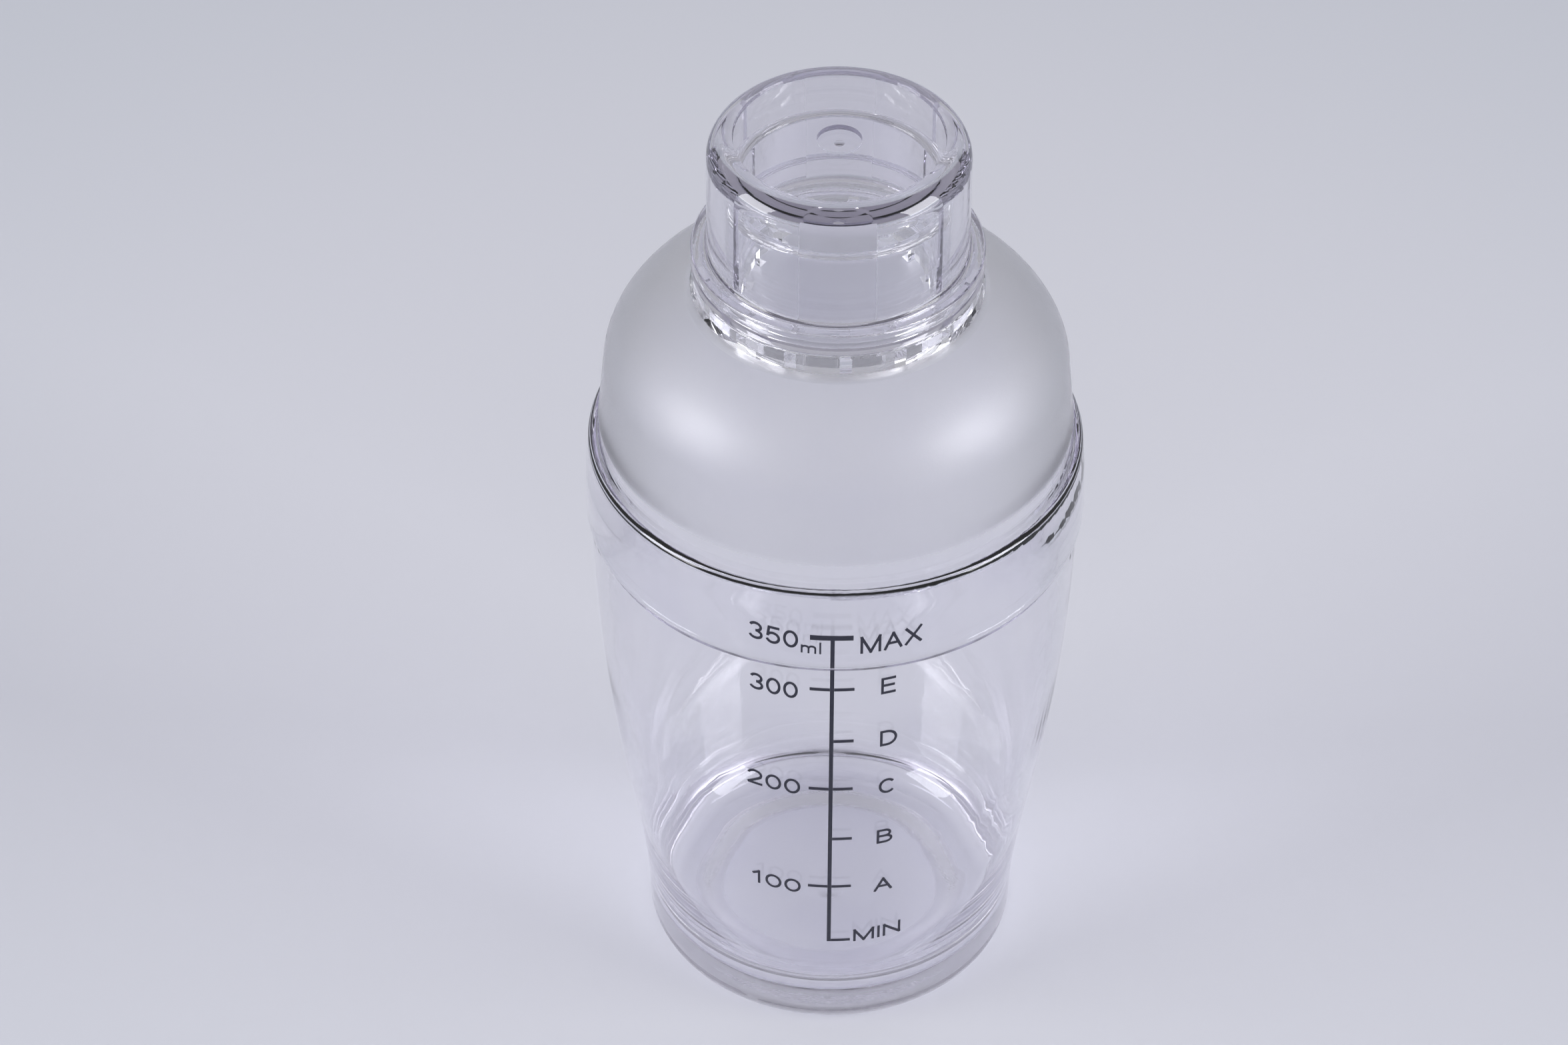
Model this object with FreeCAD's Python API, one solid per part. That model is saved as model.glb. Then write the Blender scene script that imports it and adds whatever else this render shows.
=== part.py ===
"""Three-piece drinks shaker, 350 ml: a tapering cup with a printed scale, a domed strainer lid and a cap.

All sizes are in millimetres. The origin is the centre of the cup's foot, and +Z points up to the cap.
Every moulding is turned about the Z axis, so its outline is given as (radius, height) pairs.
"""

import FreeCAD, Part
import math
import os

# ------------------------------------------------------------------ driving dimensions
# Cup
WALL = 1.9                  # wall of the cup's tapering body
BASE_WALL = 1.9             # inset of the cavity's side where the rounded floor corner meets it
FOOT_INNER_RADIUS = 24.0    # the foot is a flat ring around a shallow recess
FOOT_OUTER_RADIUS = 27.4
RECESS_RADIUS = 18.0        # the recess rises gently from the foot to this radius, then stays level
RECESS_HEIGHT = 1.9
CUP_GATE_RADIUS = 3.4       # soft swelling of the mould gate in the middle of the recess
CUP_GATE_DROP = 0.5
BASE_RADIUS = 31.4          # side of the cup just above the rounded base corner
BASE_CORNER_HEIGHT = 4.0
FLOOR_HEIGHT = 4.5          # inside floor above the table
FLOOR_CORNER_RADIUS = 9.0   # inside corner between floor and wall
SHOULDER_HEIGHT = 91.9      # where the body ends and the wider collar begins
COLLAR_RADIUS = 40.4
RIM_RADIUS = 39.8
RIM_HEIGHT = 107.8
RIM_ROUNDING = 1.3          # height of the rim's soft outer edge
MOUTH_RADIUS = 38.4
LEDGE_HEIGHT = 90.7         # ledge inside the collar that the lid comes down to
# The body's outer side from the base corner to the shoulder: it stands nearly upright, then flares.
BODY_SIDE = [
    (BASE_RADIUS, BASE_CORNER_HEIGHT),
    (32.3, 18.0),
    (35.0, 36.5),
    (37.5, 55.0),
    (39.0, 73.5),
    (39.55, SHOULDER_HEIGHT),
]
# The collar's outer side, swelling out of the shoulder and leaning in again to the rim.
COLLAR_SIDE = [
    (39.8, SHOULDER_HEIGHT + 0.15),
    (40.28, 93.0),
    (COLLAR_RADIUS, 95.5),
    (40.25, 101.0),
    (RIM_RADIUS, RIM_HEIGHT - RIM_ROUNDING),
]

# Lid
PLUG_CLEARANCE = 0.15       # radial gap of the skirt in the cup's mouth
SEAT_GAP = 0.15             # gap left under the skirt and under the cap
LID_WALL = 2.0
DOME_RADIUS = 37.1          # widest point of the dome's elliptical crown
DOME_HEIGHT = 121.0         # height of that widest point
DOME_RISE = 20.8
DOME_TOP_RADIUS = 24.0      # where the crown turns up into the neck's ring
RING_RADIUS = 22.6          # clear ring around the foot of the neck
RING_HEIGHT = 141.0
NECK_RADIUS = 17.6
NECK_WALL = 2.2
NECK_HEIGHT = 157.0
PLATE_TOP = 137.4           # flat strainer plate across the foot of the neck
PLATE_THICKNESS = 1.7
SLOT_COUNT = 15
SLOT_WIDTH = 1.8
SLOT_INNER_RADIUS = 13.8
SLOT_OUTER_RADIUS = 19.6
SLOT_TOP = 139.2
SLOT_START_ANGLE = -86.0    # one slot stands 4 degrees to the right of the scale

# Cap
CAP_TOP = 166.2
CAP_TOP_RECESS = 0.6
CAP_WALL_RADIUS = 20.4
CAP_CORNER = 4.0            # large outer rounding of the crown
CAP_CEILING = 162.7
CAP_BORE = 18.35
CAP_BOTTOM = RING_HEIGHT + SEAT_GAP + 0.2
FLANGE_RADIUS = 22.95
FLANGE_TOP = 145.4
PAD_COUNT = 5               # low pads inside the cap that grip the neck
PAD_RADIUS = 17.75
PAD_BOTTOM = 144.2
GATE_RADIUS = 3.5           # round mould-gate recess in the middle of the crown
GATE_DEPTH = 0.9

# Printed scale
INK_GAP = 0.02
INK_THICKNESS = 0.12
PRINT_CURVE = 0.0052        # the screen rolls on a taper: a row rises by this times its offset squared
TEXT_HEIGHT = 3.45
TEXT_STROKE = 0.43
CHARACTER_GAP = 0.42
LINE_WIDTH = 0.66
TICK_REACH = 3.55
TICK_WIDTH = 0.56
MAX_TICK_WIDTH = 0.92
# Height of each scale line: 50 ml of drink apart, the lowest at 50 ml and the highest at 350 ml.
LEVELS = {"max": 99.0, "e": 87.15, "d": 75.4, "c": 63.9, "b": 51.15, "a": 38.1, "min": 22.7}
# Text beside a line: the line's name, the text, its left and right edges, and its middle above the line.
NUMBERS = [
    ("e", "300", -13.3, -5.4, -0.85),
    ("c", "200", -13.8, -4.9, -0.1),
    ("a", "100", -13.6, -4.7, -0.65),
]
TOP_NUMBER = ("max", "350", -13.4, -5.4, -0.9)
UNIT = ("max", "ml", -5.0, -1.75, -2.15)
LETTERS = [
    ("e", "E", 7.75, 10.2, -0.15),
    ("d", "D", 7.75, 10.65, -0.4),
    ("c", "C", 7.75, 10.55, -0.5),
    ("b", "B", 7.6, 10.35, -0.6),
    ("a", "A", 7.4, 10.5, -0.85),
]
TOP_WORD = ("max", "MAX", 4.3, 14.2, -1.65)
BOTTOM_WORD = ("min", "MIN", 4.05, 12.3, 1.0)

Z_AXIS = FreeCAD.Vector(0, 0, 1)
CENTRE = FreeCAD.Vector(0, 0, 0)


# ------------------------------------------------------------------ outlines turned about Z
def point(radius, height):
    return FreeCAD.Vector(radius, 0, height)


def smooth_curve(pairs):
    curve = Part.BSplineCurve()
    curve.interpolate([point(*pair) for pair in pairs])
    return curve


def shifted(pairs, inwards):
    return [(radius - inwards, height) for radius, height in pairs]


def turned(start, *steps):
    """Solid of revolution from a start point and steps.

    A step is a point for a straight side, (middle, end) for an arc, or a list of points for a curve.
    """
    edges = []
    here = start
    for step in steps:
        if isinstance(step, list):
            edges.append(smooth_curve([here] + step).toShape())
            here = step[-1]
        elif isinstance(step[0], tuple):
            middle, end = step
            edges.append(Part.Arc(point(*here), point(*middle), point(*end)).toShape())
            here = end
        else:
            edges.append(Part.makeLine(point(*here), point(*step)))
            here = step
    if here != start:
        edges.append(Part.makeLine(point(*here), point(*start)))
    return Part.Face(Part.Wire(edges)).revolve(CENTRE, Z_AXIS, 360)


def on_arc(centre, radius, degrees):
    angle = math.radians(degrees)
    return (centre[0] + radius * math.cos(angle), centre[1] + radius * math.sin(angle))


def corner(centre, radius, start_degrees, end_degrees):
    """The (middle, end) step of a rounded corner."""
    middle = on_arc(centre, radius, (start_degrees + end_degrees) / 2)
    return (middle, on_arc(centre, radius, end_degrees))


def radius_at(curve, height):
    low, high = curve.FirstParameter, curve.LastParameter
    for _ in range(40):
        middle = (low + high) / 2
        if (curve.value(middle).z < height) == (curve.value(high).z > curve.value(low).z):
            low = middle
        else:
            high = middle
    return curve.value((low + high) / 2).x


# ------------------------------------------------------------------ cup
CAVITY_START = FLOOR_HEIGHT + FLOOR_CORNER_RADIUS
CAVITY_TOP = (BODY_SIDE[-1][0] - WALL, LEDGE_HEIGHT - 0.3)
CAVITY_SIDE = [(BASE_RADIUS - BASE_WALL, CAVITY_START)] + shifted(BODY_SIDE[1:-1], WALL) + [CAVITY_TOP]


def eased_slope(start, end, count=6):
    """Points of a slope that starts and ends level, without its start point."""
    points = []
    for index in range(1, count + 1):
        share = index / count
        lift = (1 - math.cos(math.pi * share)) / 2
        points.append((start[0] + (end[0] - start[0]) * share, start[1] + (end[1] - start[1]) * lift))
    return points


def cup_body():
    gate_edge = (CUP_GATE_RADIUS, RECESS_HEIGHT)
    foot_corner = ((BASE_RADIUS - 1.1, 1.15), (BASE_RADIUS, BASE_CORNER_HEIGHT))
    rim_outside = ((RIM_RADIUS - 0.3, RIM_HEIGHT - 0.42), (RIM_RADIUS - 0.95, RIM_HEIGHT))
    rim_inside = ((MOUTH_RADIUS + 0.1, RIM_HEIGHT - 0.13), (MOUTH_RADIUS, RIM_HEIGHT - 0.4))
    corner_centre = (CAVITY_SIDE[0][0] - FLOOR_CORNER_RADIUS, CAVITY_START)
    cavity_corner = corner(corner_centre, FLOOR_CORNER_RADIUS, 0, -90)
    return turned(
        (0, RECESS_HEIGHT - CUP_GATE_DROP),
        eased_slope((0, RECESS_HEIGHT - CUP_GATE_DROP), gate_edge),
        (RECESS_RADIUS, RECESS_HEIGHT),
        eased_slope((RECESS_RADIUS, RECESS_HEIGHT), (FOOT_INNER_RADIUS, 0)),
        (FOOT_OUTER_RADIUS, 0),
        foot_corner,
        BODY_SIDE[1:],
        COLLAR_SIDE[0],
        COLLAR_SIDE[1:],
        rim_outside,
        (MOUTH_RADIUS + 0.35, RIM_HEIGHT),
        rim_inside,
        (MOUTH_RADIUS, LEDGE_HEIGHT),
        CAVITY_TOP,
        list(reversed(CAVITY_SIDE[:-1])),
        cavity_corner,
        (0, FLOOR_HEIGHT),
    )


# ------------------------------------------------------------------ strainer lid
def dome_point(radius, inset):
    """A point of the dome's crown, or of its inner side when inset is the wall."""
    share = 1 - (radius / (DOME_RADIUS - inset)) ** 2
    return (radius, DOME_HEIGHT + (DOME_RISE - inset) * math.sqrt(share))


def dome_arc(radii, inset):
    return [dome_point(radius, inset) for radius in radii]


def dome_radius_at(height, inset):
    share = 1 - ((height - DOME_HEIGHT) / (DOME_RISE - inset)) ** 2
    return (DOME_RADIUS - inset) * math.sqrt(share)


def strainer_lid():
    skirt = MOUTH_RADIUS - PLUG_CLEARANCE
    skirt_bottom = LEDGE_HEIGHT + SEAT_GAP
    neck_bore = NECK_RADIUS - NECK_WALL
    underside = PLATE_TOP - PLATE_THICKNESS
    lip_middle = NECK_RADIUS - NECK_WALL / 2
    lid = turned(
        (0, PLATE_TOP),
        (neck_bore, PLATE_TOP),
        (neck_bore, NECK_HEIGHT - 1.1),
        ((lip_middle, NECK_HEIGHT), (NECK_RADIUS - 0.1, NECK_HEIGHT - 1.1)),
        (NECK_RADIUS, RING_HEIGHT + 0.6),
        ((NECK_RADIUS + 0.18, RING_HEIGHT + 0.18), (NECK_RADIUS + 0.6, RING_HEIGHT)),
        (RING_RADIUS - 0.4, RING_HEIGHT),
        corner((RING_RADIUS - 0.4, RING_HEIGHT - 0.4), 0.4, 90, 0),
        (RING_RADIUS, 138.9),
        ((23.05, 138.1), dome_point(DOME_TOP_RADIUS, 0)),
        dome_arc((27.0, 30.5, 33.5, 35.6, 36.75), 0)
        + [(DOME_RADIUS, DOME_HEIGHT), (38.05, 111.5), (skirt, 108.8)],
        (skirt, skirt_bottom + 0.5),
        (skirt - 0.5, skirt_bottom),
        (skirt - LID_WALL + 0.3, skirt_bottom),
        (skirt - LID_WALL, skirt_bottom + 0.4),
        (skirt - LID_WALL, 108.6),
        [(36.0, 111.5), (DOME_RADIUS - LID_WALL, DOME_HEIGHT)]
        + dome_arc((34.75, 33.6, 31.5, 28.5, 25.0), LID_WALL)
        + [(dome_radius_at(underside, LID_WALL), underside)],
        (0, underside),
    )
    slot_length = SLOT_OUTER_RADIUS - SLOT_INNER_RADIUS
    slot_bottom = underside - 2.0
    slot = Part.makeBox(slot_length, SLOT_WIDTH, SLOT_TOP - slot_bottom)
    slot.translate(FreeCAD.Vector(SLOT_INNER_RADIUS, -SLOT_WIDTH / 2, slot_bottom))
    slots = []
    for index in range(SLOT_COUNT):
        turned_slot = slot.copy()
        turned_slot.rotate(CENTRE, Z_AXIS, SLOT_START_ANGLE + index * 360.0 / SLOT_COUNT)
        slots.append(turned_slot)
    return lid.cut(Part.makeCompound(slots))


# ------------------------------------------------------------------ cap
def cap():
    crown = CAP_TOP - CAP_TOP_RECESS
    crown_edge = CAP_WALL_RADIUS - CAP_CORNER
    shell = turned(
        (0, crown),
        (crown_edge - 0.15, crown),
        (crown_edge, CAP_TOP),
        corner((crown_edge, CAP_TOP - CAP_CORNER), CAP_CORNER, 90, 0),
        (CAP_WALL_RADIUS + 0.1, FLANGE_TOP + 1.3),
        ((CAP_WALL_RADIUS + 0.5, FLANGE_TOP + 0.35), (CAP_WALL_RADIUS + 1.4, FLANGE_TOP)),
        (FLANGE_RADIUS - 0.4, FLANGE_TOP),
        corner((FLANGE_RADIUS - 0.4, FLANGE_TOP - 0.4), 0.4, 90, 0),
        (FLANGE_RADIUS, CAP_BOTTOM + 0.5),
        corner((FLANGE_RADIUS - 0.5, CAP_BOTTOM + 0.5), 0.5, 0, -90),
        (CAP_BORE + 0.9, CAP_BOTTOM),
        (CAP_BORE + 0.25, CAP_BOTTOM + 0.8),
        (CAP_BORE, CAP_CEILING - 0.5),
        corner((CAP_BORE - 0.5, CAP_CEILING - 0.5), 0.5, 0, 90),
        (0, CAP_CEILING),
    )
    gate = Part.makeCylinder(GATE_RADIUS, GATE_DEPTH + 1.0, FreeCAD.Vector(0, 0, crown - GATE_DEPTH))
    gate = gate.cut(Part.makeSphere(1.1, FreeCAD.Vector(0, 0, crown - GATE_DEPTH - 0.75)))
    pad_height = CAP_CEILING + 0.5 - PAD_BOTTOM
    pad_sector = 180.0 / PAD_COUNT
    pads = []
    for index in range(PAD_COUNT):
        pad = Part.makeCylinder(
            CAP_BORE + 0.8, pad_height, FreeCAD.Vector(0, 0, PAD_BOTTOM), Z_AXIS, pad_sector
        )
        hollow = Part.makeCylinder(PAD_RADIUS, pad_height, FreeCAD.Vector(0, 0, PAD_BOTTOM))
        pad = pad.cut(hollow)
        pad.rotate(CENTRE, Z_AXIS, -90 - pad_sector / 2 + index * 360.0 / PAD_COUNT)
        pads.append(pad)
    return shell.cut(gate).fuse(pads).removeSplitter()


# ------------------------------------------------------------------ printed scale
def arc_points(middle, half_width, half_height, start_degrees, end_degrees):
    count = max(6, int(abs(end_degrees - start_degrees) / 15))
    points = []
    for index in range(count + 1):
        angle = math.radians(start_degrees + (end_degrees - start_degrees) * index / count)
        points.append((middle[0] + half_width * math.cos(angle), middle[1] + half_height * math.sin(angle)))
    return points


# Each character is drawn as pen strokes in a box one unit high: "bars" are straight, "bends" are curved.
LOW, HIGH = 0.055, 0.945
CHARACTERS = {
    "0": {"width": 0.62, "bends": [arc_points((0.31, 0.5), 0.255, 0.445, 0, 360)]},
    "1": {"width": 0.52, "bars": [[(0.17, 0.72), (0.37, HIGH - 0.03)], [(0.38, LOW), (0.38, HIGH)]]},
    "2": {
        "width": 0.62,
        "bars": [[(0.07, LOW), (0.56, LOW)], [(0.07, LOW + 0.02), (0.50, 0.50)]],
        "bends": [arc_points((0.31, 0.68), 0.245, 0.265, 170, -42)],
    },
    "3": {
        "width": 0.62,
        "bends": [
            arc_points((0.30, 0.725), 0.225, 0.22, 160, -90),
            arc_points((0.30, 0.28), 0.255, 0.225, 90, -160),
        ],
    },
    "5": {
        "width": 0.62,
        "bars": [[(0.14, HIGH), (0.53, HIGH)], [(0.14, HIGH), (0.09, 0.48)]],
        "bends": [arc_points((0.30, 0.34), 0.255, 0.285, 145, -160)],
    },
    "A": {
        "width": 0.70,
        "bars": [[(0.05, LOW), (0.35, HIGH)], [(0.35, HIGH), (0.65, LOW)], [(0.17, 0.36), (0.53, 0.36)]],
    },
    "B": {
        "width": 0.62,
        "bars": [
            [(0.06, LOW), (0.06, HIGH)],
            [(0.06, HIGH), (0.32, HIGH)],
            [(0.06, 0.52), (0.34, 0.52)],
            [(0.06, LOW), (0.34, LOW)],
        ],
        "bends": [
            arc_points((0.32, 0.7325), 0.19, 0.2125, 90, -90),
            arc_points((0.34, 0.2875), 0.22, 0.2325, 90, -90),
        ],
    },
    "C": {"width": 0.70, "bends": [arc_points((0.36, 0.5), 0.30, 0.445, 42, 318)]},
    "D": {
        "width": 0.66,
        "bars": [[(0.06, LOW), (0.06, HIGH)], [(0.06, HIGH), (0.26, HIGH)], [(0.06, LOW), (0.26, LOW)]],
        "bends": [arc_points((0.26, 0.5), 0.34, 0.445, 90, -90)],
    },
    "E": {
        "width": 0.60,
        "bars": [
            [(0.06, LOW), (0.06, HIGH)],
            [(0.06, HIGH), (0.54, HIGH)],
            [(0.06, 0.52), (0.50, 0.52)],
            [(0.06, LOW), (0.54, LOW)],
        ],
    },
    "I": {"width": 0.12, "bars": [[(0.06, LOW), (0.06, HIGH)]]},
    "M": {
        "width": 0.80,
        "bars": [
            [(0.06, LOW), (0.06, HIGH)],
            [(0.06, HIGH), (0.40, LOW)],
            [(0.40, LOW), (0.74, HIGH)],
            [(0.74, HIGH), (0.74, LOW)],
        ],
    },
    "N": {
        "width": 0.70,
        "bars": [[(0.06, LOW), (0.06, HIGH)], [(0.06, HIGH), (0.64, LOW)], [(0.64, LOW), (0.64, HIGH)]],
    },
    "X": {"width": 0.66, "bars": [[(0.05, LOW), (0.61, HIGH)], [(0.05, HIGH), (0.61, LOW)]]},
    "m": {
        "width": 0.86,
        "bars": [[(0.06, LOW), (0.06, 0.62)], [(0.43, LOW), (0.43, 0.42)], [(0.80, LOW), (0.80, 0.42)]],
        "bends": [
            arc_points((0.245, 0.42), 0.185, 0.19, 180, 0),
            arc_points((0.615, 0.42), 0.185, 0.19, 180, 0),
        ],
    },
    "l": {"width": 0.12, "bars": [[(0.06, LOW), (0.06, HIGH)]]},
}


def bar_outline(start, end, width, cap_length):
    along = (end[0] - start[0], end[1] - start[1])
    length = math.hypot(*along)
    along = (along[0] / length, along[1] / length)
    side = (-along[1] * width / 2, along[0] * width / 2)
    first = (start[0] - along[0] * cap_length, start[1] - along[1] * cap_length)
    last = (end[0] + along[0] * cap_length, end[1] + along[1] * cap_length)
    return [
        (first[0] + side[0], first[1] + side[1]),
        (last[0] + side[0], last[1] + side[1]),
        (last[0] - side[0], last[1] - side[1]),
        (first[0] - side[0], first[1] - side[1]),
    ]


def bend_sides(points, width):
    """The two edges of a curved stroke, by shifting its middle line to each side."""
    closed = math.dist(points[0], points[-1]) < 1e-6
    sides = ([], [])
    for index, here in enumerate(points):
        before = points[max(index - 1, 0)]
        after = points[min(index + 1, len(points) - 1)]
        if closed and index in (0, len(points) - 1):
            before, after = points[-2], points[1]
        along = (after[0] - before[0], after[1] - before[1])
        length = math.hypot(*along)
        normal = (-along[1] / length * width / 2, along[0] / length * width / 2)
        sides[0].append((here[0] + normal[0], here[1] + normal[1]))
        sides[1].append((here[0] - normal[0], here[1] - normal[1]))
    return sides, closed


def wrapped_wire(outline, radius):
    """Closed wire in front of the cup whose x follows the cup's round side when it is pressed onto it."""
    corners = []
    for offset, height in outline:
        risen = height + PRINT_CURVE * offset * offset
        corners.append(FreeCAD.Vector(radius * math.sin(offset / radius), -50, risen))
    return Part.makePolygon(corners + [corners[0]])


def stamp(outlines, radius):
    """One printing block: the strokes' prisms joined, running from in front of the cup into its wall."""
    blocks = []
    for outline in outlines:
        if isinstance(outline, tuple):
            ring = [Part.Face(wrapped_wire(side[:-1], radius)) for side in outline]
            ring.sort(key=lambda face: face.Area)
            face = ring[1].cut(ring[0])
        else:
            face = Part.Face(wrapped_wire(outline, radius))
        blocks.append(face.extrude(FreeCAD.Vector(0, 25, 0)))
    joined = blocks[0]
    if len(blocks) > 1:
        joined = joined.fuse(blocks[1:]).removeSplitter()
    return joined


def character_outlines(name, left, bottom, height, stretch, stroke):
    def place(points):
        return [(left + x * height * stretch, bottom + y * height) for x, y in points]

    shape = CHARACTERS[name]
    outlines = []
    for bar in shape.get("bars", []):
        start, end = place(bar)
        outlines.append(bar_outline(start, end, stroke, stroke * 0.45))
    for bend in shape.get("bends", []):
        placed = place(bend)
        sides, closed = bend_sides(placed, stroke)
        outlines.append(sides if closed else sides[0] + sides[1][::-1])
    return outlines


def ink_film(side, low, high):
    """Thin shell just outside one of the cup's sides, between two heights, as wide as the print."""
    inner = [(radius + INK_GAP, height) for radius, height in side]
    outer = [(radius + INK_GAP + INK_THICKNESS, height) for radius, height in side]
    shell = turned(inner[0], inner[1:], outer[-1], list(reversed(outer[:-1])))
    window = Part.makeBox(36, 30, high - low, FreeCAD.Vector(-18, -50, low))
    return shell.common(window)


def printed(film, outlines, radius):
    return film.common(stamp(outlines, radius)).Solids


def print_text(film, side, row, height=TEXT_HEIGHT, stroke=TEXT_STROKE):
    """Text stretched to lie between its two edges, with its middle above or below its level's line."""
    level, text, left, right, lift = row
    middle = LEVELS[level] + lift
    radius = radius_at(smooth_curve(side), LEVELS[level])
    natural = sum(CHARACTERS[name]["width"] for name in text) * height
    stretch = (right - left - CHARACTER_GAP * (len(text) - 1)) / natural
    solids = []
    for name in text:
        outlines = character_outlines(name, left, middle - height / 2, height, stretch, stroke)
        solids += printed(film, outlines, radius)
        left += CHARACTERS[name]["width"] * height * stretch + CHARACTER_GAP
    return solids


def print_rows(film, side, rows):
    return [solid for row in rows for solid in print_text(film, side, row)]


def scale_nodes():
    body_film = ink_film(BODY_SIDE, 15.0, SHOULDER_HEIGHT - 0.4)
    collar_film = ink_film(COLLAR_SIDE, COLLAR_SIDE[0][1] + 0.3, RIM_HEIGHT - RIM_ROUNDING - 0.5)

    line_low = bar_outline((0, LEVELS["min"] - TICK_WIDTH / 2), (0, SHOULDER_HEIGHT), LINE_WIDTH, 0)
    line_high = bar_outline((0, SHOULDER_HEIGHT), (0, LEVELS["max"]), LINE_WIDTH, 0)
    line = printed(body_film, [line_low], BODY_SIDE[-1][0]) + printed(collar_film, [line_high], COLLAR_RADIUS)

    line_edge = LINE_WIDTH / 2 + 0.01
    ticks = []
    for name, height in LEVELS.items():
        if name == "max":
            bar = bar_outline((-TICK_REACH, height), (TICK_REACH - 0.3, height), MAX_TICK_WIDTH, 0)
            line = [solid.cut(stamp([bar], COLLAR_RADIUS)) for solid in line]
            ticks += printed(collar_film, [bar], COLLAR_RADIUS)
            continue
        radius = radius_at(smooth_curve(BODY_SIDE), height)
        right_bar = bar_outline((line_edge, height), (TICK_REACH, height), TICK_WIDTH, 0)
        ticks += printed(body_film, [right_bar], radius)
        if name in ("e", "c", "a"):
            left_bar = bar_outline((-TICK_REACH, height), (-line_edge, height), TICK_WIDTH, 0)
            ticks += printed(body_film, [left_bar], radius)

    numbers = print_rows(body_film, BODY_SIDE, NUMBERS) + print_text(collar_film, COLLAR_SIDE, TOP_NUMBER)
    return {
        "print_scale_line": [part for solid in line for part in solid.Solids],
        "print_level_ticks": ticks,
        "print_level_numbers": numbers,
        "print_unit_ml": print_text(collar_film, COLLAR_SIDE, UNIT, height=2.3, stroke=0.3),
        "print_level_letters": print_rows(body_film, BODY_SIDE, LETTERS),
        "print_max_word": print_text(collar_film, COLLAR_SIDE, TOP_WORD),
        "print_min_word": print_text(body_film, BODY_SIDE, BOTTOM_WORD, height=3.2),
    }


# ------------------------------------------------------------------ export
def main():
    os.makedirs("parts", exist_ok=True)
    nodes = {"cup_body": cup_body(), "strainer_lid": strainer_lid(), "cap": cap()}
    for name, solids in scale_nodes().items():
        nodes[name] = Part.makeCompound(solids)
    for name, shape in nodes.items():
        shape.exportStep(f"parts/{name}.step")
        print(f"{name}: {len(shape.Solids)} solid(s), {shape.Volume:.1f} mm3, valid {shape.isValid()}")


main()
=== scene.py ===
"""Looks of the 350 ml drinks shaker: clear cup, frosted strainer lid, clear cap and the printed scale.

Every length is in metres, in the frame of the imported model: +Z up, the origin under the middle of the foot.
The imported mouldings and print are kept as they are; this script gives them their materials, floor and light.
"""

import math

import bpy
from mathutils import Matrix, Vector


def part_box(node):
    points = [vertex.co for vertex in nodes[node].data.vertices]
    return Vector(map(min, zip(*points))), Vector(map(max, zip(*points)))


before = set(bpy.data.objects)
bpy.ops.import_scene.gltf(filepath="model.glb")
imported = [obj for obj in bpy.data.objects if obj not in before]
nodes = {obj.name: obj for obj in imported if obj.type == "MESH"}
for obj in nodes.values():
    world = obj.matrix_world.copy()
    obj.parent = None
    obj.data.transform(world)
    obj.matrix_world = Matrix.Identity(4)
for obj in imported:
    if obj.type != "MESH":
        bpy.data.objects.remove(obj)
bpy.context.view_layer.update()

MM = 0.001
scene = bpy.context.scene

# ------------------------------------------------------------------ places, from the frame
LID_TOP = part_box("strainer_lid")[1][2]
CUP_LOW, CUP_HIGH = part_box("cup_body")
RIM_HEIGHT = CUP_HIGH[2]
NECK_LENGTH = 16.0 * MM
RING_HEIGHT = LID_TOP - NECK_LENGTH       # clear ring around the foot of the neck
FROST_LOW = RIM_HEIGHT + 4.0 * MM         # a polished band stays clear just above the rim
FROST_HIGH = RING_HEIGHT - 3.0 * MM
PLATE_TOP = RING_HEIGHT - 3.6 * MM        # strainer plate across the foot of the neck
NECK_BORE = 15.4 * MM
DOME_WAIST_HEIGHT = RIM_HEIGHT + 13.2 * MM
DOME_MID_RADIUS = 36.1 * MM               # half way through the dome's wall
DOME_MID_RISE = 19.8 * MM
FOOT_SLOPE_INNER = 18.2 * MM              # sloping underside between the recess and the foot ring
FOOT_SLOPE_OUTER = 24.0 * MM
FOOT_SLOPE_TOP = CUP_LOW[2] + 2.2 * MM
FOOT_FADE_OUTSIDE = 0.4 * MM              # the slope's etching and its painted shade fade across its two edges
FOOT_FADE_INSIDE = 0.6 * MM
FROST_FADE_BELOW = 0.8 * MM               # the dome's frost fades in slowly and stops short at the ring
FROST_FADE_ABOVE = 1.2 * MM
FROST_STOP = 0.2 * MM
SKIN = 0.05 * MM                          # reaches just past a surface, or stops just short of it

# ------------------------------------------------------------------ node helpers


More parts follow.
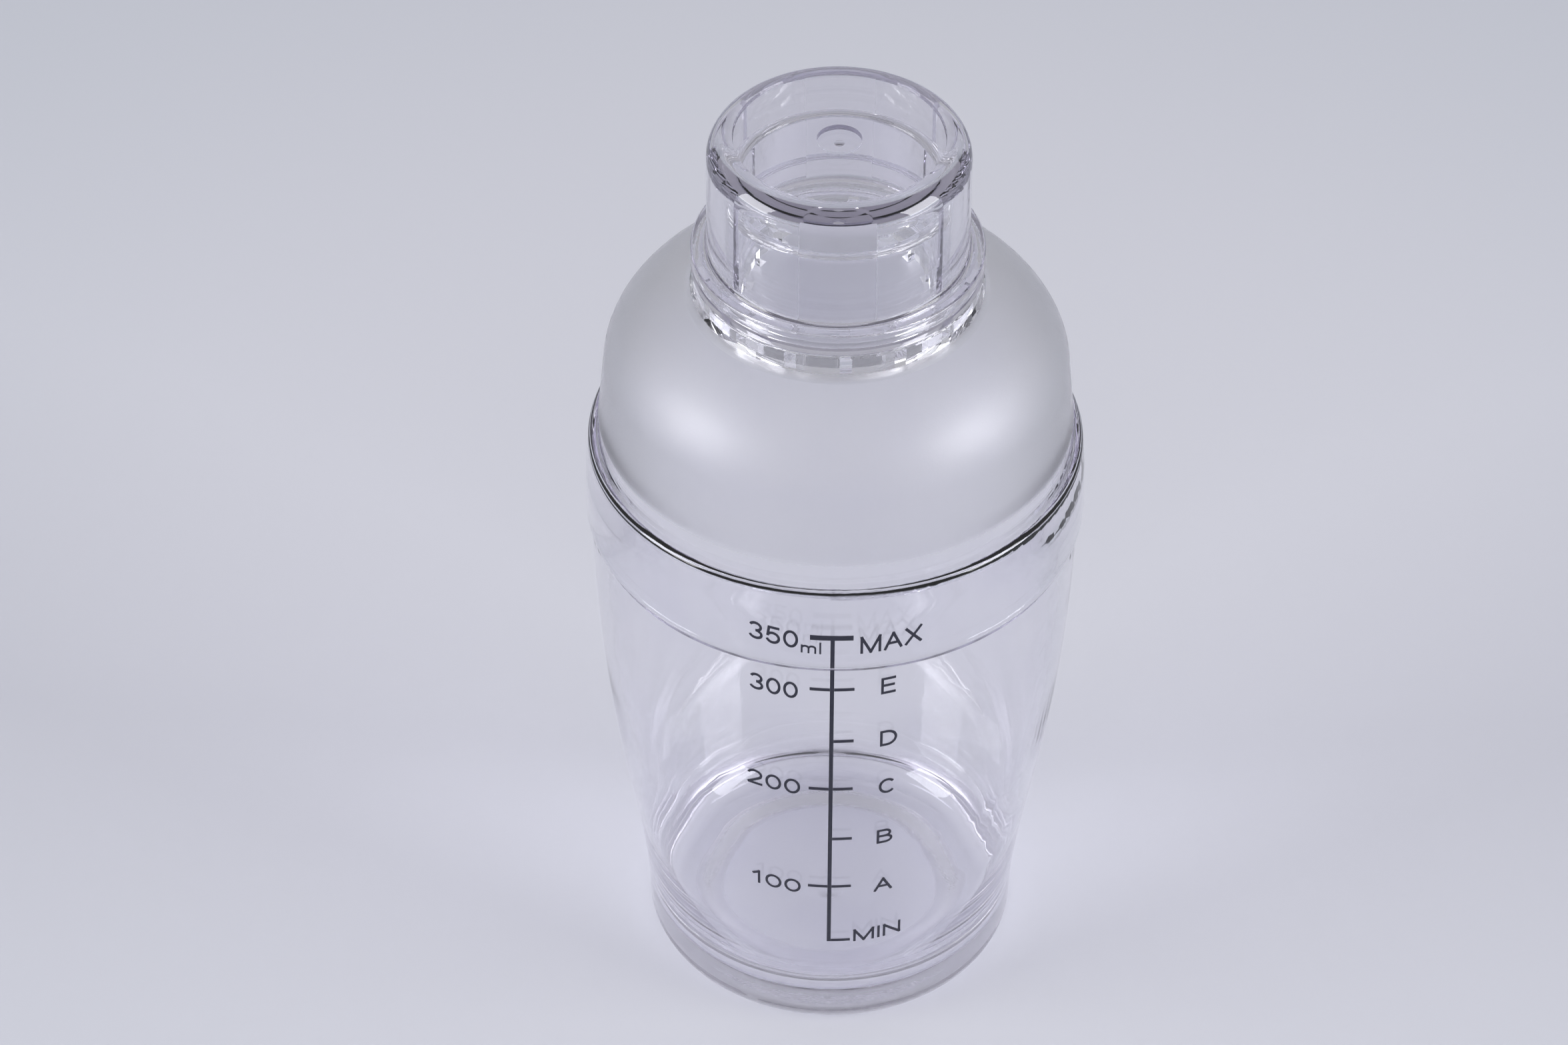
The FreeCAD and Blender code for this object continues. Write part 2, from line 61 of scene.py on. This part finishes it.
class Nodes:
    """Short way to add nodes to a material or world and to join them."""

    def __init__(self, tree):
        self.tree = tree
        tree.nodes.clear()

    def add(self, kind, inputs=None, **settings):
        node = self.tree.nodes.new(kind)
        for name, value in settings.items():
            setattr(node, name, value)
        for name, value in (inputs or {}).items():
            self.set(node, name, value)
        return node

    def set(self, node, name, value):
        if isinstance(value, bpy.types.NodeSocket):
            self.tree.links.new(value, node.inputs[name])
        else:
            node.inputs[name].default_value = value

    def math(self, operation, *values):
        node = self.add("ShaderNodeMath", operation=operation)
        for index, value in enumerate(values):
            self.set(node, index, value)
        return node.outputs[0]

    def ramp(self, value, low, high, to_low, to_high):
        node = self.add(
            "ShaderNodeMapRange",
            {"Value": value, "From Min": low, "From Max": high, "To Min": to_low, "To Max": to_high},
            interpolation_type="SMOOTHSTEP",
        )
        return node.outputs["Result"]

    def noise(self, place, scale, detail=2.0, roughness=0.5):
        inputs = {"Vector": place, "Scale": scale, "Detail": detail, "Roughness": roughness}
        return self.add("ShaderNodeTexNoise", inputs).outputs[0]

    def bump(self, height, strength, depth, under=None):
        inputs = {"Height": height, "Strength": strength, "Distance": depth}
        if under is not None:
            inputs["Normal"] = under
        return self.add("ShaderNodeBump", inputs).outputs["Normal"]

    # A mix node keeps sockets of each kind side by side, so they are told apart by their places.
    def mix_value(self, share, first, second):
        node = self.add("ShaderNodeMix", {0: share, 2: first, 3: second}, data_type="FLOAT")
        return node.outputs[0]

    def mix_colour(self, share, first, second):
        node = self.add("ShaderNodeMix", {0: share, 6: first, 7: second}, data_type="RGBA")
        return node.outputs[2]


def new_material(name):
    material = bpy.data.materials.new(name)
    material.use_nodes = True
    return material, Nodes(material.node_tree)


def assign(node_name, material):
    data = nodes[node_name].data
    data.materials.clear()
    data.materials.append(material)


# ------------------------------------------------------------------ materials
PLASTIC_IOR = 1.57
TINT = (0.985, 0.983, 0.995, 1)
TINT_DEEP = (0.965, 0.962, 0.985, 1)
DEPTH_TINT = (0.60, 0.57, 0.68, 1)        # what a deep block of the plastic turns light to
LAMP_TINT = (0.73, 0.73, 0.75, 1)         # light from the lamps that passes through each wall
FOOT_PAINTED_SHADE = (0.84, 0.83, 0.88, 1)         # painted shade: the etched slope under the floor is painted darker, standing in for the shade beneath the cup
PLATE_FROST = 0.7                         # share of the dome's etching that the strainer plate has
CUP_DENSITY = 14.0                        # how fast each moulding's depth tint builds up
LID_DENSITY = 5.0
CAP_DENSITY = 36.0
CLOUD_SCALE = 60.0                        # how fine each pattern is
FLOW_SCALE = 140.0
HAZE_SCALE = 900.0
GRAIN_SCALE = 2600.0
POLISHED_ROUGHNESS = (0.004, 0.03)        # from clean to hazed by handling
ETCHED_ROUGHNESS = (0.50, 0.60)
FLOW_STRENGTH = 0.012
FLOW_DEPTH = 0.1 * MM
ETCH_STRENGTH = 0.35
ETCH_DEPTH = 0.05 * MM


def radius_and_height(net):
    split = net.add("ShaderNodeSeparateXYZ", {"Vector": net.add("ShaderNodeTexCoord").outputs["Object"]})
    across = net.math("POWER", split.outputs["X"], 2.0)
    along = net.math("POWER", split.outputs["Y"], 2.0)
    return net.math("SQRT", net.math("ADD", across, along)), split.outputs["Z"]


def plastic_surface(net, frost=None, painted_shade_tint=None):
    """Clear moulded plastic: faint flow lines and handling haze, and a fine etched grain as frost nears 1."""
    place = net.add("ShaderNodeTexCoord").outputs["Object"]
    cloud = net.noise(place, CLOUD_SCALE, 3.0)
    haze = net.noise(place, HAZE_SCALE, 4.0, 0.6)
    colour = net.mix_colour(net.ramp(cloud, 0.35, 0.7, 0.0, 1.0), TINT, TINT_DEEP)
    roughness = net.ramp(haze, 0.4, 0.75, *POLISHED_ROUGHNESS)
    flow = net.noise(place, FLOW_SCALE, 1.0)
    normal = net.bump(flow, FLOW_STRENGTH, FLOW_DEPTH)
    if frost is not None:
        grain = net.noise(place, GRAIN_SCALE, 3.0, 0.7)
        roughness = net.mix_value(frost, roughness, net.ramp(grain, 0.3, 0.7, *ETCHED_ROUGHNESS))
        normal = net.bump(grain, net.math("MULTIPLY", frost, ETCH_STRENGTH), ETCH_DEPTH, normal)
        # painted shade: where a shade tint is given, the colour is painted towards it as the frost rises
        if painted_shade_tint is not None:
            colour = net.mix_colour(frost, colour, painted_shade_tint)
    return net.add(
        "ShaderNodeBsdfPrincipled",
        {
            "Base Color": colour,
            "Roughness": roughness,
            "IOR": PLASTIC_IOR,
            "Transmission Weight": 1.0,
            "Normal": normal,
        },
    )


def finish_plastic(material, net, surface, density):
    """Adds the depth tint, and lets light from the lamps through to what stands behind."""
    lamp_ray = net.add("ShaderNodeLightPath").outputs["Is Shadow Ray"]
    passing = net.add("ShaderNodeBsdfTransparent", {"Color": LAMP_TINT})
    mixed = net.add("ShaderNodeMixShader")
    net.set(mixed, 0, lamp_ray)
    net.set(mixed, 1, surface.outputs["BSDF"])
    net.set(mixed, 2, passing.outputs["BSDF"])
    output = net.add("ShaderNodeOutputMaterial", {"Surface": mixed.outputs["Shader"]})
    depth = net.add("ShaderNodeVolumeAbsorption", {"Color": DEPTH_TINT, "Density": density})
    net.set(output, "Volume", depth.outputs["Volume"])
    return material


def clear_plastic():
    """The cup is polished all over, apart from the slope under its floor, which is lightly etched and painted
    darker as shade.
    """
    material, net = new_material("clear_plastic")
    radius, height = radius_and_height(net)
    inner = (FOOT_SLOPE_INNER - FOOT_FADE_OUTSIDE, FOOT_SLOPE_INNER + FOOT_FADE_INSIDE)
    outer = (FOOT_SLOPE_OUTER - FOOT_FADE_INSIDE, FOOT_SLOPE_OUTER + FOOT_FADE_OUTSIDE)
    starts = net.ramp(radius, *inner, 0.0, 1.0)
    ends = net.ramp(radius, *outer, 1.0, 0.0)
    underneath = net.math("LESS_THAN", height, FOOT_SLOPE_TOP)
    etched = net.math("MULTIPLY", net.math("MULTIPLY", starts, ends), underneath)
    # painted shade: the etched mask also paints the slope towards the darker shade colour
    return finish_plastic(material, net, plastic_surface(net, etched, FOOT_PAINTED_SHADE), CUP_DENSITY)


def cap_plastic():
    material, net = new_material("cap_plastic")
    return finish_plastic(material, net, plastic_surface(net), CAP_DENSITY)


def lid_plastic():
    """The dome's outside and the strainer plate are etched; neck, ring, skirt and inside stay polished."""
    material, net = new_material("lid_plastic")
    radius, height = radius_and_height(net)
    above = net.math("MAXIMUM", net.math("SUBTRACT", height, DOME_WAIST_HEIGHT), 0.0)
    rise = net.math("POWER", net.math("DIVIDE", above, DOME_MID_RISE), 2.0)
    spread = net.math("POWER", net.math("DIVIDE", radius, DOME_MID_RADIUS), 2.0)
    outside = net.math("GREATER_THAN", net.math("ADD", spread, rise), 1.0)
    starts = net.ramp(height, FROST_LOW - FROST_FADE_BELOW, FROST_LOW + FROST_FADE_ABOVE, 0.0, 1.0)
    ends = net.ramp(height, FROST_HIGH - FROST_STOP, FROST_HIGH + FROST_STOP, 1.0, 0.0)
    dome_frost = net.math("MULTIPLY", net.math("MULTIPLY", starts, ends), outside)
    within_neck = net.math("LESS_THAN", radius, NECK_BORE - SKIN)
    on_plate = net.math("LESS_THAN", height, PLATE_TOP + SKIN)
    plate_frost = net.math("MULTIPLY", net.math("MULTIPLY", within_neck, on_plate), PLATE_FROST)
    frost = net.math("MAXIMUM", dome_frost, plate_frost)
    return finish_plastic(material, net, plastic_surface(net, frost), LID_DENSITY)


INK = (0.012, 0.012, 0.026, 1)
INK_THIN = (0.026, 0.027, 0.048, 1)       # where the ink film is thinner
INK_ROUGHNESS = (0.42, 0.6)
INK_SCALE = 1400.0
INK_BUMP = 0.2
INK_DEPTH = 0.02 * MM


def print_ink():
    """Screen-printed ink with a slightly uneven film."""
    material, net = new_material("print_ink")
    place = net.add("ShaderNodeTexCoord").outputs["Object"]
    thin = net.noise(place, INK_SCALE, 3.0, 0.6)
    colour = net.mix_colour(thin, INK, INK_THIN)
    roughness = net.ramp(net.noise(place, GRAIN_SCALE), 0.3, 0.7, *INK_ROUGHNESS)
    normal = net.bump(thin, INK_BUMP, INK_DEPTH)
    film = {"Base Color": colour, "Roughness": roughness, "Normal": normal}
    ink = net.add("ShaderNodeBsdfPrincipled", film)
    net.add("ShaderNodeOutputMaterial", {"Surface": ink.outputs["BSDF"]})
    return material


assign("cup_body", clear_plastic())
assign("strainer_lid", lid_plastic())
assign("cap", cap_plastic())
ink_material = print_ink()
for name in nodes:
    if name.startswith("print_"):
        assign(name, ink_material)

# ------------------------------------------------------------------ floor
FLOOR_SIZE = 6.0
FLOOR_GAP = 0.15 * MM                     # keeps the floor from lying in the foot's own plane
PAPER = (0.655, 0.657, 0.708, 1)
PAPER_LIGHT = (0.672, 0.672, 0.720, 1)
# painted shade: the colour the floor is painted towards, away from the painted pool of light
PAPER_PAINTED_SHADE = (0.560, 0.582, 0.630, 1)
SHADE_CENTRE = (0.0, 0.08, 0.0)           # the paper is painted lightest here as a pool of light, and painted darker away from it as shade
SHADE_START = 0.08
SHADE_END = 0.36


def floor_material():
    material, net = new_material("studio_floor")
    place = net.add("ShaderNodeTexCoord").outputs["Object"]
    paper_colour = net.mix_colour(net.noise(place, 6.0, 3.0), PAPER, PAPER_LIGHT)
    # painted light and shade: the floor's colour fades from the painted pool of light to darker paper with
    # distance
    away = net.add("ShaderNodeVectorMath", {0: place, 1: SHADE_CENTRE}, operation="DISTANCE")
    shade_share = net.ramp(away.outputs["Value"], SHADE_START, SHADE_END, 0.0, 1.0)
    colour = net.mix_colour(shade_share, paper_colour, PAPER_PAINTED_SHADE)
    paper = net.add("ShaderNodeBsdfPrincipled", {"Base Color": colour, "Roughness": 0.9})
    net.add("ShaderNodeOutputMaterial", {"Surface": paper.outputs["BSDF"]})
    return material


def make_floor():
    data = bpy.data.meshes.new("floor")
    half = FLOOR_SIZE / 2
    corners = [(-half, -half, 0), (half, -half, 0), (half, half, 0), (-half, half, 0)]
    data.from_pydata(corners, [], [(0, 1, 2, 3)])
    floor = bpy.data.objects.new("floor", data)
    floor.location.z = CUP_LOW[2] - FLOOR_GAP
    scene.collection.objects.link(floor)
    data.materials.append(floor_material())


make_floor()

# ------------------------------------------------------------------ light
SKY_COLOUR = (0.94, 0.945, 1.0, 1)
SKY_STRENGTH = 0.50
LAMP_COLOUR = (0.96, 0.97, 1.0)
LAMP_AZIMUTH = 73                         # degrees to each side of the scale
LAMP_ELEVATION = 24                       # degrees
LAMP_DISTANCE = 1.6
LAMP_SIZE = 0.8
LAMP_POWER = 15.0                         # watts

world = bpy.data.worlds.new("studio")
scene.world = world
world.use_nodes = True
sky = Nodes(world.node_tree)
background = sky.add("ShaderNodeBackground", {"Color": SKY_COLOUR, "Strength": SKY_STRENGTH})
sky.add("ShaderNodeOutputWorld", {"Surface": background.outputs["Background"]})


def softbox(name, azimuth):
    """Square soft light aimed at the cup's rim. Azimuth 0 is in front of the scale, 90 is to its right."""
    data = bpy.data.lights.new(name, "AREA")
    data.shape = "SQUARE"
    data.size = LAMP_SIZE
    data.energy = LAMP_POWER
    data.color = LAMP_COLOUR
    light = bpy.data.objects.new(name, data)
    side = math.radians(azimuth)
    lift = math.radians(LAMP_ELEVATION)
    way = Vector((math.sin(side) * math.cos(lift), -math.cos(side) * math.cos(lift), math.sin(lift)))
    target = Vector((0, 0, RIM_HEIGHT))
    light.location = target + way * LAMP_DISTANCE
    light.rotation_euler = way.to_track_quat("Z", "Y").to_euler()
    scene.collection.objects.link(light)


softbox("softbox_left", -LAMP_AZIMUTH)
softbox("softbox_right", LAMP_AZIMUTH)

# ------------------------------------------------------------------ camera
CAMERA_PLACE = (0, -0.568364, 0.596333)
CAMERA_FORWARD = Vector((-0.010776, 0.744617, -0.667405))
CAMERA_UP = Vector((-0.013518, 0.667274, 0.744690))
CAMERA_LENS = 107.15
SENSOR_WIDTH = 36.0
CLIP_START = 0.05


def make_camera():
    data = bpy.data.cameras.new("camera")
    data.sensor_width = SENSOR_WIDTH
    data.lens = CAMERA_LENS
    data.clip_start = CLIP_START
    camera = bpy.data.objects.new("camera", data)
    rightward = CAMERA_FORWARD.cross(CAMERA_UP)
    turn = Matrix((rightward, CAMERA_UP, -CAMERA_FORWARD)).transposed().to_4x4()
    camera.matrix_world = Matrix.Translation(CAMERA_PLACE) @ turn
    scene.collection.objects.link(camera)
    scene.camera = camera


make_camera()

# ------------------------------------------------------------------ how rays travel
WALL_BOUNCES = 40                         # a ray can cross a dozen plastic walls, and turn back inside them
GLOSSY_BOUNCES = 16

scene.view_settings.view_transform = "Standard"
scene.cycles.max_bounces = WALL_BOUNCES
scene.cycles.transmission_bounces = WALL_BOUNCES
scene.cycles.glossy_bounces = GLOSSY_BOUNCES
